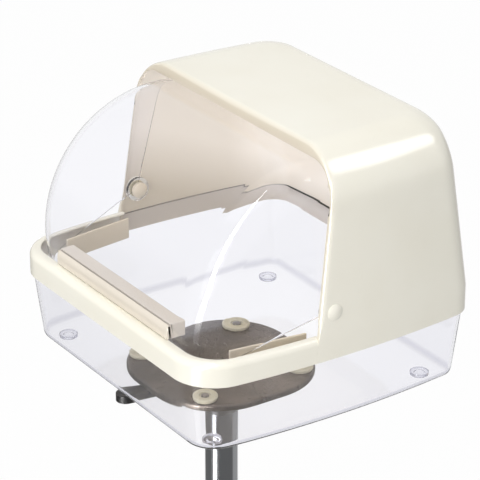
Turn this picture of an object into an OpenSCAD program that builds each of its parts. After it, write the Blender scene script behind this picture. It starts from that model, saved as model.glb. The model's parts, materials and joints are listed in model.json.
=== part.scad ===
// Hooded box unit with a clear roll-back visor and a clear tray, on a swivelling column.
// Millimetres. +Z is up, -Y is the front (visor side). The origin is the lower end of the column spigot,
// on the column's axis.

/* [Box] */
// Width of the box at its corners
body_w = 340; // [300:1:400]
// Depth of the box at its rim
body_d = 328; // [310:1:380]
// How far each side wall bows out at its middle
side_bow = 11.5; // [0:0.5:20]
// Plan radius of the box's front corners
corner_r = 40; // [32:1:50]
// How much smaller the back corners' plan radius is than the front ones'
back_corner_step = 14; // [0:1:18]
// Distance from the column's axis back to the middle of the box
box_back = 25; // [0:1:40]

/* [Hood] */
// Height of the hood above the rim line
hood_h = 202; // [202:1:220]
// Wall thickness of the hood
hood_wall = 3; // [2.5:0.1:3.5]
// Radius of the roof's two long edges
roof_side_r = 52; // [44:1:54]
// Radius of the roof's back edge
roof_back_r = 18; // [12:1:30]
// How far each side wall leans in over the hood's height
side_lean = 9; // [6:0.5:10]
// How far the back wall leans in over the hood's height
back_lean = 25; // [10:1:32]
// Distance from the pivots forward to the arch, at the rim line
arch_fwd_low = 22; // [21.5:0.5:30]
// Distance from the pivots forward to the arch, at the roof (negative behind them)
arch_fwd_top = -4.5; // [-8:0.5:2]
// Height of the arch's turned-in rim under the roof
arch_rim_top = 12; // [6:0.5:12]
// How far the arch's rim turns in from the side walls' inner faces
arch_rim_side = 1.2; // [0.6:0.1:1.3]
// Thickness of the arch's rim, front to back
arch_rim_t = 3.5; // [2:0.5:6]
// How much smaller the arch's corner radius is than the roof's
arch_corner_step = 20; // [17:1:24]

/* [Rim band] */
// Height of the band round the front
band_h = 25; // [20:1:28]
// Width of the band's top at the sides
band_side_w = 9.5; // [8:0.5:9.5]
// Width of the band's top at the front
band_front_w = 13; // [11:0.5:14]
// Radius of the band's top outer edge
band_edge_r = 7; // [4:0.5:7.5]

/* [Tray] */
// Depth of the tray below the rim line
tray_depth = 75; // [55:1:90]
// Wall thickness of the tray
tray_wall = 3; // [2:0.1:4]
// How far the tray's walls draw in from the rim line to the floor
tray_draft = 8.5; // [4:0.5:9]
// Radius of the edge between the tray's walls and floor
tray_edge_r = 10; // [7:0.5:12]
// Clearance between the tray's rim and the hood round it
tray_clear = 0.3; // [0.2:0.05:0.5]
// Radius of each of the tray's feet
foot_r = 9.5; // [6:0.5:11]
// Height of each of the tray's feet
foot_h = 4; // [2:0.5:6]
// Distance of the feet from the tray's centre, sideways
foot_x = 134; // [100:1:138]
// Distance of the feet from the tray's centre, front to back
foot_y = 124; // [100:1:132]

/* [Visor] */
// Radius of the visor's drum about its pivots
visor_r = 136; // [130:0.5:136.5]
// Wall thickness of the visor
visor_wall = 2.5; // [2:0.1:3]
// Radius between the visor's drum and its side walls
visor_corner_r = 36; // [34:1:50]
// Tilt of the visor's side walls from upright
visor_tilt = 10; // [9:0.5:11]
// Angle of the visor's lower edge below the forward horizontal
visor_low_a = 18; // [12:0.5:19]
// Angle of the visor's rear edge above the forward horizontal
visor_top_a = 98; // [94:0.5:104]
// Distance from the band's front face back to the visor's drum
visor_set = 13; // [12:0.5:15]
// Height of the pivots above the rim line
pivot_h = 48; // [46:0.5:48.5]
// Radius of the pivot pins
pin_r = 4; // [3:0.25:5]
// Running clearance between pin and visor
pin_run = 0.05; // [0.03:0.01:0.08]
// Radius of the visor's hubs
hub_r = 13; // [11:0.5:14]
// Thickness of the visor's hubs
hub_t = 5; // [4.75:0.25:7]
// End play between each hub and its washer
hub_play = 0.15; // [0.1:0.05:0.3]
// Thickness of the washers beside the visor's hubs
washer_t = 0.8; // [0.6:0.1:1]
// How much smaller the washers' radius is than the hubs'
washer_in = 4; // [4:0.5:5]
// Height of the pivot bosses inside the hood
boss_h = 1.3; // [1.2:0.1:1.5]
// Radius of the domed pivot covers
cover_r = 8.5; // [7:0.25:10]
// Height of the domed pivot covers
cover_h = 3; // [2:0.25:4]
// Depth of the pin's seat in each inner cap
cap_seat = 3; // [2:0.25:4]
// Gap between each inner cap and the visor's hub
cap_gap = 0.3; // [0.2:0.05:0.5]

/* [Handle] */
// Distance from each of the handle's ends to the rounding of the visor's drum
handle_end = 18; // [6:1:40]
// Height of the handle
handle_h = 16; // [12:1:20]
// Depth of the handle, front to back
handle_depth = 21; // [19:0.5:24]
// Distance from the band's front face back to the handle's front face
handle_set = 10; // [9:0.5:11]
// Radius of the handle's top front edge
handle_r = 8; // [4:0.5:10]
// Gap between the handle and the band below it
handle_gap = 0.3; // [0.2:0.05:0.6]
// Distance from each of the handle's ends to its outer screws
handle_screw_in = 23; // [10:1:60]
// Thickness of the handle left in front of its screw holes
handle_skin = 1; // [0.8:0.1:1.5]

/* [Guide rails] */
// Thickness of the guide rails
rail_t = 2.5; // [1.5:0.25:3]
// Gap between each guide rail and the visor's side wall
rail_gap = 2; // [1:0.25:4]
// Distance from the pivots forward to the rails' front ends
rail_fwd = 100; // [80:1:104]
// Distance from the arch back to the rails' rear ends
rail_behind = 3; // [1:0.5:6]
// Height of the rails' shelves above the rim line
shelf_lift = 1; // [0.5:0.25:3]
// Distance from the top of the band down to the top of the rails
rail_drop = 1; // [0.5:0.25:4]

/* [Mounting plate] */
// Half the width of the square plate
plate_half = 88; // [80:1:100]
// Corner radius of the plate
plate_corner_r = 70; // [50:1:74]
// Thickness of the plate's steel
plate_t = 3; // [2:0.1:3]
// Depth of the plate's turned-down skirt
skirt_h = 7; // [5:0.5:12]
// Radius of the pads
pad_r = 14; // [10:0.5:15]
// Height of the pads
pad_h = 4; // [4:0.5:8]
// Distance of the pads from the column's axis along X and Y
pad_xy = 57; // [50:0.5:58]
// Radius of the recess in each pad
pad_recess_r = 6; // [5:0.25:8]
// Depth of the recess in each pad
pad_recess_h = 2.2; // [1.9:0.1:2.6]

/* [Column] */
// Distance from the spigot's lower end up to the plate's underside
plate_z = 240; // [200:1:400]
// Outer radius of the column tube
column_r = 17; // [16:0.25:18]
// Inner radius of the column tube
column_bore_r = 13.5; // [12:0.25:14]
// Radius of the spigot at the column's lower end
spigot_r = 15.5; // [14.75:0.05:15.5]
// Length of the spigot
spigot_len = 50; // [30:1:70]
// Running clearance between the column and the swivel head
swivel_run = 0.05; // [0.03:0.01:0.08]
// Length of the plug inside the column's top
plug_len = 24; // [18:1:28]
// Thickness of the plug's shoulder on the column's end
shoulder_t = 2; // [1.5:0.25:2.5]
// Thickness of the thrust washer
thrust_t = 1.6; // [1:0.1:2]
// Gap between the thrust washer and the head's shoulder
thrust_gap = 0.1; // [0.05:0.05:0.2]

/* [Swivel head] */
// Outer radius of the swivel head
head_r = 20.5; // [20:0.25:24]
// Length of the swivel head below the plate
head_len = 50; // [46:1:70]
// Length of the column inside the swivel head
head_grip = 22; // [16:0.5:22]
// Radius of the head's flange under the plate
flange_r = 34; // [30:0.5:38]
// Thickness of the head's flange
flange_t = 4; // [3:0.5:5]
// Distance of the flange bolts from the axis
bolt_circle_r = 27.5; // [26.5:0.25:28]
// Radius of the chamber over the column's end
chamber_r = 12; // [10:0.25:12.5]
// Height of the taper at the head's lower end
taper_h = 6; // [3:0.5:10]
// Wall of the head at its tapered lower end
taper_wall = 1.15; // [0.8:0.05:2]

/* [Fasteners] */
// Radius of the flange bolts
bolt_r = 2.5; // [2:0.25:3]
// Radius across the corners of the flange bolts' heads
bolt_head_r = 4.2; // [3.8:0.1:4.6]
// Height of the flange bolts' heads
bolt_head_h = 3.5; // [2.5:0.25:4]
// Radius of the pad and handle screws
screw_r = 2; // [1.5:0.25:2]
// Radius of the screws' heads
screw_head_r = 4.2; // [3.5:0.1:4.6]
// Height of the screws' heads
screw_head_h = 1.8; // [1:0.1:1.8]
// Radius across the corners of the pad nuts
nut_r = 4.2; // [3.6:0.1:5]
// Height of the pad nuts
nut_h = 3; // [2:0.25:4]

/* [Release lever] */
// Direction of the lever in plan, measured from +X
lever_dir = -104; // [-120:1:-60]
// Distance from the column's axis to the lever's tip
lever_reach = 112; // [100:1:140]
// Width of the lever's bar
lever_w = 10; // [8:0.5:12]
// Thickness of the lever's bar
lever_t = 4; // [3:0.25:5]
// Distance from the plate's underside down to the lever's pin
lever_drop = 17.5; // [17:0.25:18]
// Distance from the column's axis to the lever's pin
lever_pin_out = 15; // [14.5:0.25:16]
// Length of the lever's grip
grip_len = 42; // [30:1:50]
// Width of the lever's grip
grip_w = 20; // [14:0.5:24]
// Radius of the release plunger
plunger_r = 4.5; // [3.5:0.25:5.5]
// Radius of the lever's pin
lever_pin_r = 2; // [1.5:0.25:2]
// Wall of the eye round the lever's pin
lever_eye_wall = 2.5; // [2:0.25:2.5]
// Height of the lever's slot in the head
slot_h = 11; // [10.5:0.25:12]

/* [Hidden] */

$fn = 64;
hair = 0.1;         // clearance between fixed pieces that fit into each other
hole_play = 0.2;    // clearance of a screw in the hole it passes through
pivot_run = 0.05;   // running clearance of the lever on its pin
through = 1;        // how far a cutting tool runs past the face it cuts
arc_steps = 6;      // flat facets in each plan corner
side_steps = 6;     // flat facets along each bowed side
corner_steps = 8;   // straight steps in each turned corner
min_plan_r = 4;     // smallest plan radius of an inset outline

// Heights
plate_top = plate_z + plate_t;
tray_z = plate_top + pad_h;
rim_z = tray_z + tray_depth;
pivot_z = rim_z + pivot_h;
band_front_y = box_back - body_d / 2;
pivot_y = band_front_y + visor_set + visor_r;
head_z = plate_z - head_len;
column_top = head_z + head_grip;

// Colours
cream = [0.93, 0.91, 0.84];
clear_plastic = [0.90, 0.90, 0.96, 0.35];
steel = [0.55, 0.53, 0.50];
chrome = [0.82, 0.83, 0.85];
black = [0.08, 0.08, 0.09];
rubber_cream = [0.88, 0.85, 0.74];
brass = [0.75, 0.68, 0.45];

// ---------- plan outline and lofting ----------

// How far the side bows out at distance y from the middle of the box.
function bow_at(y) = side_bow * (1 - pow(y / (body_d / 2), 2));

// Points of one corner arc, counter-clockwise, for a corner centred at c.
function corner_arc(c, r, from) = [
    for (i = [0 : arc_steps]) let (a = from + 90 * i / arc_steps) [c[0] + r * cos(a), c[1] + r * sin(a)]
];

// Points strictly between two points, which carry the bow along a side.
function between(a, b) = [for (i = [1 : side_steps - 1]) a + (b - a) * i / side_steps];

// Rounded rectangle, inset from the box's plan by in_x at the sides, in_f in front and in_b behind.
// Its front corners have the radius r, and its back corners are tighter.
function plan_flat(in_x, in_f, in_b, r) =
    let (
        back_r = max(r - back_corner_step, min_plan_r),
        x = body_w / 2 - in_x,
        y0 = -body_d / 2 + in_f + r,
        y1 = body_d / 2 - in_b - back_r
    )
    concat(
        corner_arc([x - r, y0], r, -90), between([x, y0], [x, y1]),
        corner_arc([x - back_r, y1], back_r, 0), corner_arc([back_r - x, y1], back_r, 90),
        between([-x, y1], [-x, y0]), corner_arc([r - x, y0], r, 180)
    );

// The same outline with its sides bowed, at height z.
function plan_ring(z, in_x, in_f, in_b, r) = [
    for (p = plan_flat(in_x, in_f, in_b, r))
        let (half = body_w / 2 - in_x)
        [p[0] * (1 + bow_at(p[1]) / half), p[1] + box_back, z]
];

// Outline inset evenly by d.
function even_ring(z, d) = plan_ring(z, d, d, d, max(corner_r - d, min_plan_r));

// Closed solid through a stack of rings, lowest ring first.
module loft(rings) {
    n = len(rings[0]);
    last = len(rings) - 1;
    polyhedron(
        points = [for (ring = rings) each ring],
        faces = concat(
            [[for (j = [0 : n - 1]) j]],
            [for (i = [0 : last - 1], j = [0 : n - 1]) [i * n + j, (i + 1) * n + j, i * n + (j + 1) % n]],
            [for (i = [0 : last - 1], j = [0 : n - 1])
                [i * n + (j + 1) % n, (i + 1) * n + j, (i + 1) * n + (j + 1) % n]],
            [[for (j = [n - 1 : -1 : 0]) last * n + j]]
        )
    );
}

// Inset of a quarter-round edge of radius r that ends at height top.
function round_in(z, top, r) = z <= top - r ? 0 : r - sqrt(max(r * r - pow(z - (top - r), 2), 0));

// ---------- shared places ----------

// Share of the hood's lean reached at height z above the rim line. Its walls are upright up to the band.
function lean_at(z) = max(z - band_h, 0) / (hood_h - band_h);

// Outer half-width of the hood at distance y behind the middle of the box and height z above the rim line.
function hood_half(y, z) = body_w / 2 + bow_at(y) - side_lean * lean_at(z);

pivot_out = hood_half(pivot_y - box_back, pivot_h);
cover_seat = pivot_out - hood_wall / 2;
boss_face = pivot_out - hood_wall - boss_h;
hub_out = boss_face - washer_t - hub_play;
hub_in = hub_out - hub_t;
cap_face = hub_in - cap_gap;

// Side wall of the visor: tangent point of its corner arc, and that arc's centre.
tangent_r = visor_r - visor_corner_r + visor_corner_r * sin(visor_tilt);
tangent_x = hub_out - tangent_r * tan(visor_tilt);
corner_x = tangent_x - visor_corner_r * cos(visor_tilt);
corner_c = visor_r - visor_corner_r;

// Distance from the middle out to the visor's inner face, at radius r from the pivots' axis.
function visor_in_x(r) = r < tangent_r
    ? hub_out - visor_wall / cos(visor_tilt) - r * tan(visor_tilt)
    : corner_x + sqrt(pow(visor_corner_r - visor_wall, 2) - pow(r - corner_c, 2));

arch_lean = (arch_fwd_low - arch_fwd_top) / hood_h;
function arch_y(z) = pivot_y - arch_fwd_low + arch_lean * z;

handle_z = rim_z + band_h + handle_gap;
handle_front = band_front_y + handle_set;
handle_hole = handle_depth - handle_skin;
handle_half = corner_x - handle_end;

// Puts a piece drawn along +X at the pivots, on the right (side = 1) or the left (side = -1).
module at_pivot(side) {
    translate([0, pivot_y, pivot_z]) mirror([side < 0 ? 1 : 0, 0, 0]) children();
}

// Cylinder along +X between two distances from the middle.
module disc_x(r, x0, x1) {
    translate([x0, 0, 0]) rotate([0, 90, 0]) cylinder(r = r, h = x1 - x0);
}

// Low dome of radius r and height h on the plane x = 0, bulging towards +X: a cap cut from a ball.
module dome_x(r, h) {
    ball = (r * r + h * h) / (2 * h);
    edge_a = asin(r / ball);
    rotate([0, 90, 0]) rotate_extrude() polygon(concat(
        [[0, 0]],
        [for (i = [0 : corner_steps])
            let (a = edge_a * (1 - i / corner_steps)) [ball * sin(a), h - ball + ball * cos(a)]]
    ));
}

// Places children at the four corners of a rectangle.
module four(x, y) {
    for (sx = [-1, 1], sy = [-1, 1]) translate([sx * x, sy * y, 0]) children();
}

// Direction of the lever, as a frame with +X along the bar.
module along_lever() {
    rotate([0, 0, lever_dir]) children();
}

// The lever's pin, inside that frame and in the whole unit's frame.
module lever_pin_place() {
    translate([lever_pin_out, 0, lever_z]) rotate([90, 0, 0]) children();
}

module at_lever_pin() {
    along_lever() lever_pin_place() children();
}

// ---------- column ----------

plug_edge = 0.2;     // how far the plug's shoulder stays inside the column's outer radius
thrust_bore = 4;     // gap between the plunger and the bore of the thrust washer
thrust_z = column_top + shoulder_t;
shoulder_z = thrust_z + thrust_t + thrust_gap;

module column_tube() {
    color(chrome) difference() {
        union() {
            translate([0, 0, spigot_len]) cylinder(r = column_r, h = column_top - spigot_len);
            cylinder(r = spigot_r, h = spigot_len + through);
        }
        translate([0, 0, -through]) cylinder(r = column_bore_r, h = column_top + 2 * through);
    }
}

module column_plug() {
    color(steel) difference() {
        union() {
            translate([0, 0, column_top]) cylinder(r = column_r - plug_edge, h = shoulder_t);
            translate([0, 0, column_top - plug_len])
                cylinder(r = column_bore_r - hair, h = plug_len + through);
        }
        translate([0, 0, column_top - plug_len - through])
            cylinder(r = plunger_r + swivel_run, h = plug_len + shoulder_t + 2 * through);
    }
}

module thrust_washer() {
    color(brass) translate([0, 0, thrust_z]) difference() {
        cylinder(r = column_r - plug_edge, h = thrust_t);
        translate([0, 0, -through]) cylinder(r = plunger_r + thrust_bore, h = thrust_t + 2 * through);
    }
}

lever_z = plate_z - lever_drop;
plunger_gap = 0.3;   // gap between the plunger's top and the lever's bar
plunger_lift = 6;    // distance from the plug's lower end up to the plunger's lower end
plunger_top = lever_z - lever_t / 2 - plunger_gap;
plunger_low = column_top - plug_len + plunger_lift;

module release_plunger() {
    color(steel) translate([0, 0, plunger_low]) cylinder(r = plunger_r, h = plunger_top - plunger_low);
}

// ---------- swivel head and plate ----------

slot_play = 0.4;     // gap between the lever's bar and each side of its slot
bolt_xy = bolt_circle_r * cos(45);

module swivel_head() {
    color(steel) difference() {
        union() {
            translate([0, 0, head_z + taper_h]) cylinder(r = head_r, h = head_len - taper_h);
            translate([0, 0, head_z])
                cylinder(r1 = column_r + swivel_run + taper_wall, r2 = head_r, h = taper_h);
            translate([0, 0, plate_z - flange_t]) cylinder(r = flange_r, h = flange_t);
        }
        translate([0, 0, head_z - through])
            cylinder(r = column_r + swivel_run, h = shoulder_z - head_z + through);
        translate([0, 0, shoulder_z - through])
            cylinder(r = chamber_r, h = plate_z - shoulder_z + 2 * through);
        along_lever() translate([0, -lever_w / 2 - slot_play, lever_z - slot_h / 2])
            cube([head_r + through, lever_w + 2 * slot_play, slot_h]);
        at_lever_pin() cylinder(r = lever_pin_r + pivot_run, h = 2 * head_r, center = true);
        four(bolt_xy, bolt_xy) translate([0, 0, plate_z - flange_t - through])
            cylinder(r = bolt_r + hair, h = flange_t + 2 * through);
    }
}

module flange_bolts() {
    color(chrome) four(bolt_xy, bolt_xy) {
        translate([0, 0, plate_z - flange_t - bolt_head_h])
            cylinder(r = bolt_head_r, h = bolt_head_h, $fn = 6);
        translate([0, 0, plate_z - flange_t - hair]) cylinder(r = bolt_r, h = flange_t + plate_t);
    }
}

// Square with rounded corners, centred, as a plate of height h.
module rounded_plate(half, r, h) {
    linear_extrude(h) {
        square([2 * half, 2 * (half - r)], center = true);
        square([2 * (half - r), 2 * half], center = true);
        four(half - r, half - r) circle(r = r);
    }
}

module mounting_plate() {
    color(steel) difference() {
        translate([0, 0, plate_top - skirt_h]) rounded_plate(plate_half, plate_corner_r, skirt_h);
        translate([0, 0, plate_top - skirt_h - through])
            rounded_plate(plate_half - plate_t, plate_corner_r - plate_t, skirt_h - plate_t + through);
        four(pad_xy, pad_xy) translate([0, 0, plate_z - through])
            cylinder(r = screw_r + hole_play, h = plate_t + 2 * through);
        four(bolt_xy, bolt_xy) translate([0, 0, plate_z - through])
            cylinder(r = bolt_r + hair, h = plate_t + 2 * through);
    }
}

pad_web = pad_h - pad_recess_h;

module plate_pads() {
    color(rubber_cream) four(pad_xy, pad_xy) translate([0, 0, plate_top]) difference() {
        cylinder(r = pad_r, h = pad_h);
        translate([0, 0, pad_web]) cylinder(r = pad_recess_r, h = pad_h);
        translate([0, 0, -through]) cylinder(r = screw_r + hole_play, h = pad_h + 2 * through);
    }
}

nut_past = 1;        // how far each pad screw runs past its nut
pad_screw_len = nut_past + nut_h + plate_t + pad_web;

module pad_screws() {
    color(chrome) four(pad_xy, pad_xy) {
        translate([0, 0, plate_top + pad_web]) cylinder(r = screw_head_r, h = screw_head_h);
        translate([0, 0, plate_z - nut_h - nut_past])
            cylinder(r = screw_r, h = pad_screw_len + screw_head_h / 2);
    }
}

module pad_nuts() {
    color(chrome) four(pad_xy, pad_xy) translate([0, 0, plate_z - nut_h]) difference() {
        cylinder(r = nut_r, h = nut_h, $fn = 6);
        translate([0, 0, -through]) cylinder(r = screw_r + hair / 2, h = nut_h + 2 * through);
    }
}

// ---------- release lever ----------

lever_inner = 2.5;   // distance of the bar's inner end from the column's axis, over the plunger
pin_inset = 8;       // how far each end of the lever's pin stays inside the head's outer radius
tip_cover = 8;       // length of the grip past the bar's end
bar_end = lever_reach - tip_cover;

module lever_pin() {
    color(chrome) at_lever_pin() cylinder(r = lever_pin_r, h = 2 * (head_r - pin_inset), center = true);
}

module lever_bar() {
    color(steel) along_lever() difference() {
        union() {
            translate([lever_inner, -lever_w / 2, lever_z - lever_t / 2])
                cube([bar_end - lever_inner, lever_w, lever_t]);
            lever_pin_place() cylinder(r = lever_pin_r + lever_eye_wall, h = lever_w, center = true);
        }
        lever_pin_place() cylinder(r = lever_pin_r + pivot_run, h = 2 * lever_w, center = true);
    }
}

// ---------- tray ----------

tray_rim_top = rim_z + band_h - hood_wall - tray_clear;
tray_in = hood_wall + tray_clear;
edge_angles = [90 : -18 : 0];

// Rings of one face of the tray, taken in by d from its outer face, up to the height top.
function tray_rings(d, top) =
    let (r = tray_edge_r - d)
    concat(
        [for (a = edge_angles) even_ring(
            tray_z + d + r * (1 - sin(a)),
            tray_in + tray_draft + d + r * (1 - cos(a)))],
        [even_ring(rim_z, tray_in + d), even_ring(top, tray_in + d)]
    );

module tray() {
    color(clear_plastic) difference() {
        loft(tray_rings(0, tray_rim_top));
        loft(tray_rings(tray_wall, tray_rim_top + through));
    }
}

module tray_feet() {
    color(clear_plastic) translate([0, box_back, tray_z - foot_h]) four(foot_x, foot_y)
        cylinder(r = foot_r, h = foot_h);
}

// ---------- hood ----------

roof_angles = [0 : 15 : 90];
arch_corner_r = roof_side_r - arch_corner_step;
arch_in = hood_wall + arch_rim_side;

// Ring of the hood at height z above the rim line, taken in by d for the inner face.
function hood_ring(z, d) =
    let (top = hood_h - d)
    plan_ring(
        rim_z + z,
        d + side_lean * lean_at(z) + round_in(z, top, roof_side_r - d),
        d,
        d + back_lean * lean_at(z) + round_in(z, top, roof_back_r - d),
        corner_r - d
    );

// Stack of rings from height low up to the roof.
function hood_rings(low, d) = concat(
    [hood_ring(low, d), hood_ring(band_h, d)],
    [for (a = roof_angles) hood_ring(hood_h - roof_side_r + (roof_side_r - d) * sin(a), d)]
);

// Ring of the opening inside the arch's rim, at height z above the rim line.
function arch_ring(z) =
    let (top = hood_h - arch_rim_top, in = arch_in + round_in(z, top, arch_corner_r))
    plan_ring(
        rim_z + z,
        in + side_lean * lean_at(z),
        arch_in,
        in + back_lean * lean_at(z),
        corner_r - arch_in
    );

// Stack of those rings, from under the band up to the rim's lower edge under the roof.
function arch_rings() = concat(
    [arch_ring(-through), arch_ring(band_h)],
    [for (a = roof_angles) arch_ring(hood_h - arch_rim_top - arch_corner_r * (1 - sin(a)))]
);

// Everything in front of the arch's plane, between two heights above the rim line.
module before_arch(z0, z1) {
    reach = body_d;
    rotate([90, 0, 90]) translate([0, 0, -body_w]) linear_extrude(2 * body_w) polygon([
        [arch_y(z0) - reach, rim_z + z0], [arch_y(z0), rim_z + z0],
        [arch_y(z1), rim_z + z1], [arch_y(z0) - reach, rim_z + z1]
    ]);
}

module hood_body() {
    difference() {
        loft(hood_rings(0, 0));
        difference() {
            loft(hood_rings(-through, hood_wall));
            translate([0, arch_rim_t, 0]) before_arch(band_h - hood_wall, hood_h + through);
        }
        loft(arch_rings());
        before_arch(-2 * through, hood_h + through);
    }
}

// Outline of the opening inside the band's top, at height z above the rim line.
function band_opening(z) =
    plan_ring(rim_z + z, band_side_w, band_front_w, band_side_w, corner_r - band_side_w);

// Band that carries on round the front: an outer wall with a rounded top that turns inwards.
module band_body() {
    intersection() {
        difference() {
            loft(concat(
                [even_ring(rim_z, 0)],
                [for (a = [0 : 18 : 90]) even_ring(
                    rim_z + band_h - band_edge_r * (1 - sin(a)),
                    band_edge_r * (1 - cos(a)))]
            ));
            loft([
                even_ring(rim_z - through, hood_wall),
                even_ring(rim_z + band_h - hood_wall, hood_wall)
            ]);
            loft([band_opening(-through), band_opening(band_h + through)]);
        }
        translate([0, hood_wall, 0]) before_arch(-through, band_h + through);
    }
}

module hood_shell() {
    color(cream) difference() {
        union() {
            hood_body();
            band_body();
            for (side = [-1, 1]) at_pivot(side) disc_x(hub_r, boss_face, cover_seat);
        }
        for (side = [-1, 1]) at_pivot(side) {
            disc_x(pin_r + hair, boss_face - through, pivot_out + through);
            disc_x(cover_r + hair, cover_seat, pivot_out + through);
        }
    }
}

// Inner guide beside each of the visor's side walls: a shelf on the tray's rim and an upright lip.
rail_front = pivot_y - rail_fwd;
rail_back = arch_y(0) + rail_behind;
shelf_z = rim_z + shelf_lift;

// Outer face of a rail's lip at the depth y, where its lower edge is farthest from the pivots' axis.
function lip_x(y) = visor_in_x(norm([pivot_y - y, pivot_h - shelf_lift])) - rail_gap;

module guide_rail(side) {
    lip_back = lip_x(rail_back);
    lip_front = lip_x(rail_front);
    shelf_reach = body_w;
    color(cream) mirror([side < 0 ? 1 : 0, 0, 0]) {
        translate([0, 0, shelf_z]) linear_extrude(band_h - shelf_lift - rail_drop) polygon([
            [lip_front - rail_t, rail_front], [lip_front, rail_front],
            [lip_back, rail_back], [lip_back - rail_t, rail_back]
        ]);
        intersection() {
            translate([0, 0, shelf_z]) linear_extrude(rail_t) polygon([
                [lip_front - rail_t, rail_front], [shelf_reach, rail_front],
                [shelf_reach, rail_back], [lip_back - rail_t, rail_back]
            ]);
            loft([
                even_ring(rim_z, tray_in + tray_wall + hair),
                even_ring(rim_z + band_h, tray_in + tray_wall + hair)
            ]);
        }
    }
}

module guide_rail_left() { guide_rail(-1); }
module guide_rail_right() { guide_rail(1); }

// ---------- pivots ----------

module pivot_pin(side) {
    color(chrome) at_pivot(side) disc_x(pin_r, cap_face - cap_seat, cover_seat);
}

module pivot_cover(side) {
    color(cream) at_pivot(side) {
        disc_x(cover_r, cover_seat, pivot_out);
        translate([pivot_out, 0, 0]) dome_x(cover_r, cover_h);
    }
}

module pivot_cap(side) {
    color(cream) at_pivot(side) difference() {
        translate([cap_face, 0, 0]) mirror([1, 0, 0]) union() {
            disc_x(cover_r, 0, cap_seat);
            translate([cap_seat, 0, 0]) dome_x(cover_r, cover_h);
        }
        disc_x(pin_r + hair / 2, cap_face - cap_seat, cap_face + through);
    }
}

module pivot_washer(side) {
    color(brass) at_pivot(side) difference() {
        disc_x(hub_r - washer_in, boss_face - washer_t, boss_face);
        disc_x(pin_r + hair, boss_face - washer_t - through, boss_face + through);
    }
}

module pivot_pin_left() { pivot_pin(-1); }
module pivot_pin_right() { pivot_pin(1); }
module pivot_cover_left() { pivot_cover(-1); }
module pivot_cover_right() { pivot_cover(1); }
module pivot_cap_left() { pivot_cap(-1); }
module pivot_cap_right() { pivot_cap(1); }
module pivot_washer_left() { pivot_washer(-1); }
module pivot_washer_right() { pivot_washer(1); }

// ---------- visor ----------

// Half of the visor's section, as [radius, distance along the axis], taken in by d.
function visor_half(d) = concat(
    [[0, hub_out - d / cos(visor_tilt)]],
    [for (i = [0 : corner_steps]) let (a = (90 - visor_tilt) * (1 - i / corner_steps)) [
        corner_c + (visor_corner_r - d) * cos(a),
        corner_x + (visor_corner_r - d) * sin(a)
    ]]
);

function reversed(path) = [for (i = [len(path) - 1 : -1 : 0]) path[i]];
function both_halves(path) = concat(path, [for (p = reversed(path)) [p[0], -p[1]]]);

drum_fn = 120;       // facets of the visor's drum in a full turn
fit_fn = 180;        // facets of the handle's faces on the drum in a full turn
tip_gap = 1;         // distance from each handle screw's tip to the end of its hole

module visor() {
    color(clear_plastic) difference() {
        union() {
            translate([0, pivot_y, pivot_z]) rotate([0, 90, 0]) rotate([0, 0, -90 - visor_top_a])
                rotate_extrude(angle = visor_low_a + visor_top_a, $fn = drum_fn)
                    polygon(concat(
                        both_halves(visor_half(0)),
                        reversed(both_halves(visor_half(visor_wall)))
                    ));
            for (side = [-1, 1]) at_pivot(side) disc_x(hub_r, hub_in, hub_out);
        }
        for (side = [-1, 1]) at_pivot(side) disc_x(pin_r + pin_run, hub_in - through, hub_out + through);
        handle_screw_places() cylinder(r = screw_r + hole_play, h = handle_hole);
    }
}

// Places children at the handle's screws, on the handle's back face, with +Z towards the front.
module handle_screw_places() {
    pitch = handle_half - handle_screw_in;
    for (i = [-1 : 1]) translate([i * pitch, handle_front + handle_depth, handle_z + handle_h / 2])
        rotate([90, 0, 0]) children();
}

// A bar in two halves, one on each face of the drum, with the drum's wall clamped between them.
module visor_handle() {
    color(cream) difference() {
        rotate([90, 0, 90]) translate([handle_front, handle_z, -handle_half])
            linear_extrude(2 * handle_half) intersection() {
                square([handle_depth, handle_h]);
                union() {
                    translate([0, -handle_r]) square([handle_depth, handle_h]);
                    translate([handle_r, 0]) square([handle_depth, handle_h]);
                    translate([handle_r, handle_h - handle_r]) circle(r = handle_r);
                }
            }
        translate([0, pivot_y, pivot_z]) rotate([0, 90, 0]) difference() {
            cylinder(r = visor_r + hair / 2, h = body_w, center = true, $fn = fit_fn);
            cylinder(r = visor_r - visor_wall - hair / 2, h = 2 * body_w, center = true, $fn = fit_fn);
        }
        handle_screw_places() translate([0, 0, -through])
            cylinder(r = screw_r + hair, h = handle_hole + through);
    }
}

module handle_screws() {
    color(chrome) handle_screw_places() {
        translate([0, 0, -screw_head_h]) cylinder(r = screw_head_r, h = screw_head_h);
        translate([0, 0, -screw_head_h / 2])
            cylinder(r = screw_r, h = handle_hole - tip_gap + screw_head_h / 2);
    }
}

neck_wall = 2;       // wall of the grip's neck beside the lever's bar
neck_in = 3;         // distance from the grip's inner end to its neck's middle
grip_t = lever_t + 2 * neck_wall;

module lever_grip() {
    color(black) along_lever() difference() {
        translate([lever_reach - grip_len, 0, lever_z]) hull() {
            translate([neck_in, 0, 0])
                cylinder(r = lever_w / 2 + neck_wall, h = grip_t, center = true, $fn = 32);
            translate([grip_len - grip_w / 2, 0, 0])
                cylinder(r = grip_w / 2, h = grip_t, center = true, $fn = 32);
        }
        translate([lever_pin_out, -lever_w / 2 - hair / 2, lever_z - lever_t / 2 - hair / 2])
            cube([bar_end - lever_pin_out + hair, lever_w + hair, lever_t + hair]);
    }
}

column_tube();
column_plug();
thrust_washer();
release_plunger();
swivel_head();
flange_bolts();
mounting_plate();
plate_pads();
pad_screws();
pad_nuts();
lever_pin();
lever_bar();
lever_grip();
tray();
tray_feet();
hood_shell();
guide_rail_left();
guide_rail_right();
pivot_pin_left();
pivot_pin_right();
pivot_cover_left();
pivot_cover_right();
pivot_cap_left();
pivot_cap_right();
pivot_washer_left();
pivot_washer_right();
visor();
visor_handle();
handle_screws();
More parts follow.
